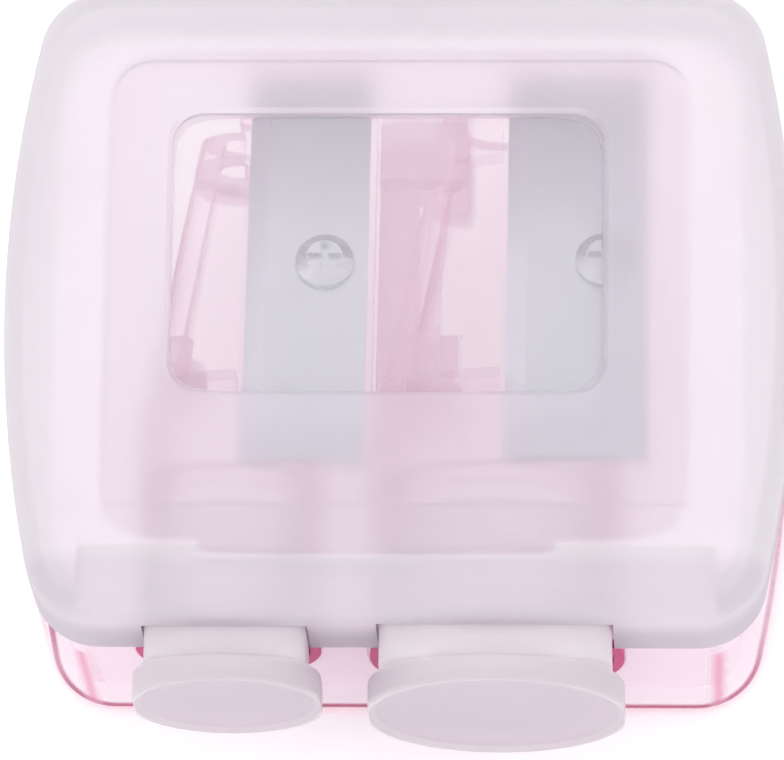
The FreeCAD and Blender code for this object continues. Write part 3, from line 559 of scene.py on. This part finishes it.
class SHARPENER_OT_cover(bpy.types.Operator):
    """Finish the frosted cover, with its polished window"""

    bl_idname = "sharpener.cover"
    bl_label = "Finish the cover"

    def execute(self, context):
        settings = context.scene.sharpener_frosted
        low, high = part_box("cover")

        def walls(tree):
            """Where the cover's painted shade lies: the upright walls, fading out where they turn into
            the top, and in part the ledge inside the near wall."""
            place = tree.add("SeparateXYZ", Vector=tree.place)
            upright = tree.between(place.outputs["Z"], low.z + WALL_FOOT, high.z - WALL_HEAD, 1.0, 0.0)
            ledge = tree.between(place.outputs["Y"], low.y + LEDGE_START, low.y + LEDGE_END,
                                 LEDGE_SHADE, 0.0)
            return tree.maths("MAXIMUM", upright, ledge)

        def inner_faces(tree):
            """The underside of the cover's top, inside its walls."""
            place = tree.add("SeparateXYZ", Vector=tree.place).outputs["Z"]
            below = tree.between(place, high.z - UNDERSIDE[0], high.z - UNDERSIDE[1], 1.0, 0.0)
            return tree.maths("MULTIPLY", below, patch(tree, COVER_ROOM))

        polish = Polish(settings.window_milk, settings.window_blur, settings.window_tint)
        finish_node("cover", frosted_plastic(
            "frosted_cover", settings.tint, settings.milk, settings.blur, window=WINDOW, panels=PANELS,
            rim_milk=settings.rim_milk, polish=polish, shade=settings.wall_shade, shaded=walls,
            smooth=inner_faces, smooth_milk=settings.inner_milk))
        return {"FINISHED"}


class SHARPENER_OT_stoppers(bpy.types.Operator):
    """Mould the two frosted stoppers, with soft edges"""

    bl_idname = "sharpener.stoppers"
    bl_label = "Mould the stoppers"

    def execute(self, context):
        settings, sizes = context.scene.sharpener_frosted, context.scene.sharpener_stopper
        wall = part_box("base_tray")[0].y
        for size in ("small", "large"):
            node = f"{size}_plug"
            low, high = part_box(node)

            def stub(tree):
                """The smooth stub, inside the box's near wall."""
                place = tree.add("SeparateXYZ", Vector=tree.place).outputs["Y"]
                return tree.between(place, wall + STUB_FADE[0], wall + STUB_FADE[1])

            def flange(tree):
                """Where the stopper's painted shade lies: the flange's face, inside its rim, which is left
                lighter, and in part its side.
                """
                face = band(tree, "Y", low.y - BEYOND, low.y + FLANGE_FACE, FLANGE_SOFT)
                side = band(tree, "Y", low.y - BEYOND, low.y + sizes.thickness, FLANGE_SOFT)
                split = tree.add("SeparateXYZ", Vector=tree.place)
                across = tree.maths("SUBTRACT", split.outputs["X"], (low.x + high.x) / 2)
                up = tree.maths("SUBTRACT", split.outputs["Z"], (low.z + high.z) / 2)
                away = tree.maths("SQRT", tree.maths("ADD", tree.maths("MULTIPLY", across, across),
                                                     tree.maths("MULTIPLY", up, up)))
                edge = (high.z - low.z) / 2
                inner = tree.between(away, edge - FLANGE_RIM[0], edge - FLANGE_RIM[1], 1.0, 0.0)
                return tree.maths("MAXIMUM", tree.maths("MULTIPLY", face, inner),
                                  tree.maths("MULTIPLY", side, FLANGE_SIDE_SHADE))

            piece = stopper_surface(f"{size}_stopper", node, sizes)
            piece.data.materials.append(frosted_plastic(
                f"frosted_{size}_stopper", settings.stopper_tint, settings.stopper_milk, settings.blur,
                shade=settings.flange_shade, shaded=flange, shaded_milk=settings.flange_milk,
                smooth=stub, smooth_milk=settings.stub_milk))
            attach(piece, f"{size}_stopper")
            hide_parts(node)
        return {"FINISHED"}


class SHARPENER_OT_tray(bpy.types.Operator):
    """Finish the clear pink tray"""

    bl_idname = "sharpener.tray"
    bl_label = "Finish the tray"

    def execute(self, context):
        settings = context.scene.sharpener_clear

        def foot_glow(tree):
            """Painted glow on the rounded edge around the tray's foot, clear of the foot itself."""
            return band(tree, "Z", *FOOT_LINE, 0.07 * MM)

        def corners(tree):
            """Painted glow in upright streaks at the four corners, where the wall is seen along its
            thickness.
            """
            split = tree.add("SeparateXYZ", Vector=tree.place)
            out = tree.maths("ABSOLUTE", split.outputs["X"])
            rise = tree.between(out, STREAK_OUT - STREAK_HALF, STREAK_OUT)
            fall = tree.between(out, STREAK_OUT, STREAK_OUT + STREAK_HALF, 1.0, 0.0)
            far = tree.between(tree.maths("ABSOLUTE", split.outputs["Y"]), *STREAK_ALONG)
            streak = tree.maths("MULTIPLY", tree.maths("MULTIPLY", rise, fall), far)
            tall = band(tree, "Z", *STREAK_HEIGHT, 0.5 * MM)
            return tree.maths("MULTIPLY", tree.maths("MULTIPLY", streak, tall), STREAK_SHARE)

        def lit_edges(tree):
            return tree.maths("MAXIMUM", foot_glow(tree), corners(tree))

        finish_node("base_tray", clear_plastic(
            "clear_tray", settings.tray_film, settings.tray_body, settings.tray_depth,
            settings.depth_colour, TRAY_SIDE_SHARE, settings.edge_glow_colour, lit_edges))
        return {"FINISHED"}


class SHARPENER_OT_insert(bpy.types.Operator):
    """Finish the pink frame and the two sharpener bodies"""

    bl_idname = "sharpener.insert"
    bl_label = "Finish the frame and the sharpeners"

    def execute(self, context):
        settings = context.scene.sharpener_clear
        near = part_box("insert_frame")[0].y

        def collar_glow(tree):
            """Painted glow on the ends of the collars, at the box's near face."""
            return band(tree, "Y", near - BEYOND, near + COLLAR_LIT, 0.15 * MM)

        look = (settings.insert_film, settings.insert_body, settings.insert_depth,
                settings.depth_colour, INSERT_SIDE_SHARE)
        finish_node("insert_frame", clear_plastic("clear_frame", *look, settings.edge_glow_colour, collar_glow))
        for size in ("small", "large"):
            edge, body_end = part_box(f"{size}_blade")[0].x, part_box(f"{size}_sharpener_body")[0].y
            blocks = [Region((edge + (left + right) / 2, body_end + (near_end + far_end) / 2),
                             (right - left) / 2, (far_end - near_end) / 2, power=6.0, soft=0.12)
                      for left, right, near_end, far_end in SOLID_BLOCKS[size]]

            def solid_blocks(tree):
                """The blocks at both ends of the chip slot, beside the blade's cutting edge."""
                found = 0.0
                for block in blocks:
                    found = tree.maths("MAXIMUM", found, patch(tree, block))
                return found

            finish_node(f"{size}_sharpener_body",
                        clear_plastic(f"clear_{size}_body", *look, thick=solid_blocks))
        return {"FINISHED"}


class SHARPENER_OT_blades(bpy.types.Operator):
    """Finish the ground blades and their screws"""

    bl_idname = "sharpener.blades"
    bl_label = "Finish the blades and screws"

    def execute(self, context):
        plating = plated_steel("screw_plating")
        for size, slope in BLADE_SLOPES.items():
            blade = f"{size}_blade"
            ground_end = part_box(blade)[0].x + GROUND_END
            finish_node(blade, ground_steel(f"{blade}_steel", slope, ground_end))
            finish_node(f"{blade}_screw", plating)
        return {"FINISHED"}


# ---------------------------------------------------------------- stage

Lamp = namedtuple("Lamp", "name place width power")

LAMPS = (Lamp("overhead", (0.0, 0.12, 0.45), width=0.35, power=0.08),
         Lamp("left_front", (-0.4, -0.1, 0.4), width=0.3, power=0.06))
MIDDLE = Vector((0, 0, 8 * MM))     # what the lamps and the camera are turned to
AIM_RIGHT, AIM_UP = -0.82 * MM, -1.12 * MM   # of the camera's line of sight, past the middle
TABLE_HALF = 1.5                    # of the table's width
TABLE_DROP = 0.02 * MM              # below the box, so that their faces stay apart
SENSOR_WIDTH = 36                   # in millimetres, as a lens is


def camera_axes(settings):
    """The camera's right, up and backward directions from its azimuth, elevation and roll."""
    level = math.cos(settings.elevation)
    ahead = Vector((-level * math.sin(settings.azimuth), level * math.cos(settings.azimuth),
                    -math.sin(settings.elevation)))
    right = ahead.cross(Vector((0, 0, 1))).normalized()
    up = right.cross(ahead)
    turned_right = math.cos(settings.roll) * right + math.sin(settings.roll) * up
    turned_up = math.cos(settings.roll) * up - math.sin(settings.roll) * right
    return turned_right, turned_up, -ahead


def set_table(scene, settings):
    """A wide flat table just under the box."""
    half, level = TABLE_HALF, -TABLE_DROP
    mesh = bpy.data.meshes.new("table")
    mesh.from_pydata([(-half, -half, level), (half, -half, level), (half, half, level),
                      (-half, half, level)], [], [(0, 1, 2, 3)])
    mesh.materials.append(table_finish(settings.floor_tone, settings.glow))
    table = bpy.data.objects.new("table", mesh)
    scene.collection.objects.link(table)


def set_light(scene, settings):
    """An even white surround and two wide soft lamps."""
    world = bpy.data.worlds.new("even_light")
    world.use_nodes = True
    background = world.node_tree.nodes["Background"]
    background.inputs["Color"].default_value = (1.0, 1.0, 1.0, 1)
    background.inputs["Strength"].default_value = settings.sky
    world.cycles.sampling_method = "MANUAL"
    world.cycles.sample_map_resolution = 64
    scene.world = world
    for source in LAMPS:
        lamp = bpy.data.lights.new(source.name, "AREA")
        lamp.shape = "DISK"
        lamp.size = source.width
        lamp.energy = source.power
        item = bpy.data.objects.new(source.name, lamp)
        item.location = source.place
        item.rotation_euler = (MIDDLE - Vector(source.place)).to_track_quat("-Z", "Y").to_euler()
        scene.collection.objects.link(item)


def set_camera(scene, settings):
    """A long lens, looking down on the box from its near side."""
    right, up, back = camera_axes(settings)
    camera = bpy.data.cameras.new("camera")
    camera.lens = settings.lens
    camera.sensor_width = SENSOR_WIDTH
    camera.clip_start = 0.01
    camera.clip_end = 10
    item = bpy.data.objects.new("camera", camera)
    item.matrix_world = Matrix((
        (right.x, up.x, back.x, 0), (right.y, up.y, back.y, 0), (right.z, up.z, back.z, 0),
        (0, 0, 0, 1)))
    item.location = MIDDLE + AIM_RIGHT * right + AIM_UP * up + settings.distance * back
    scene.collection.objects.link(item)
    scene.camera = item


class SHARPENER_OT_stage(bpy.types.Operator):
    """Set the table, the soft light and the camera"""

    bl_idname = "sharpener.stage"
    bl_label = "Set the stage"

    def execute(self, context):
        scene, settings = context.scene, context.scene.sharpener_studio
        set_table(scene, settings)
        set_light(scene, settings)
        set_camera(scene, settings)
        scene.view_settings.view_transform = "Standard"
        # light passes many clear and frosted walls on its way through the box
        scene.cycles.max_bounces = 24
        scene.cycles.transmission_bounces = 24
        scene.cycles.transparent_max_bounces = 32
        return {"FINISHED"}


class SHARPENER_PT_panel(bpy.types.Panel):
    """Buttons for the sharpener's pieces, with their colours and sizes"""

    bl_label = "Pencil sharpener"
    bl_idname = "SHARPENER_PT_panel"
    bl_space_type = "VIEW_3D"
    bl_region_type = "UI"
    bl_category = "Sharpener"

    def draw(self, context):
        layout = self.layout
        for operator in OPERATORS:
            layout.operator(operator.bl_idname)
        for name, group in SETTINGS.items():
            box = layout.box()
            for field in group.__annotations__:
                box.prop(getattr(context.scene, name), field)


OPERATORS = (SHARPENER_OT_tray, SHARPENER_OT_insert, SHARPENER_OT_blades, SHARPENER_OT_stoppers,
             SHARPENER_OT_cover, SHARPENER_OT_stage)


def register():
    for item in (*SETTINGS.values(), *OPERATORS, SHARPENER_PT_panel):
        bpy.utils.register_class(item)
    for name, group in SETTINGS.items():
        setattr(bpy.types.Scene, name, PointerProperty(type=group))


def unregister():
    for name in SETTINGS:
        delattr(bpy.types.Scene, name)
    for item in reversed((*SETTINGS.values(), *OPERATORS, SHARPENER_PT_panel)):
        bpy.utils.unregister_class(item)


def main():
    register()
    for operator in OPERATORS:
        group, name = operator.bl_idname.split(".")
        getattr(getattr(bpy.ops, group), name)()


if __name__ == "__main__":
    main()
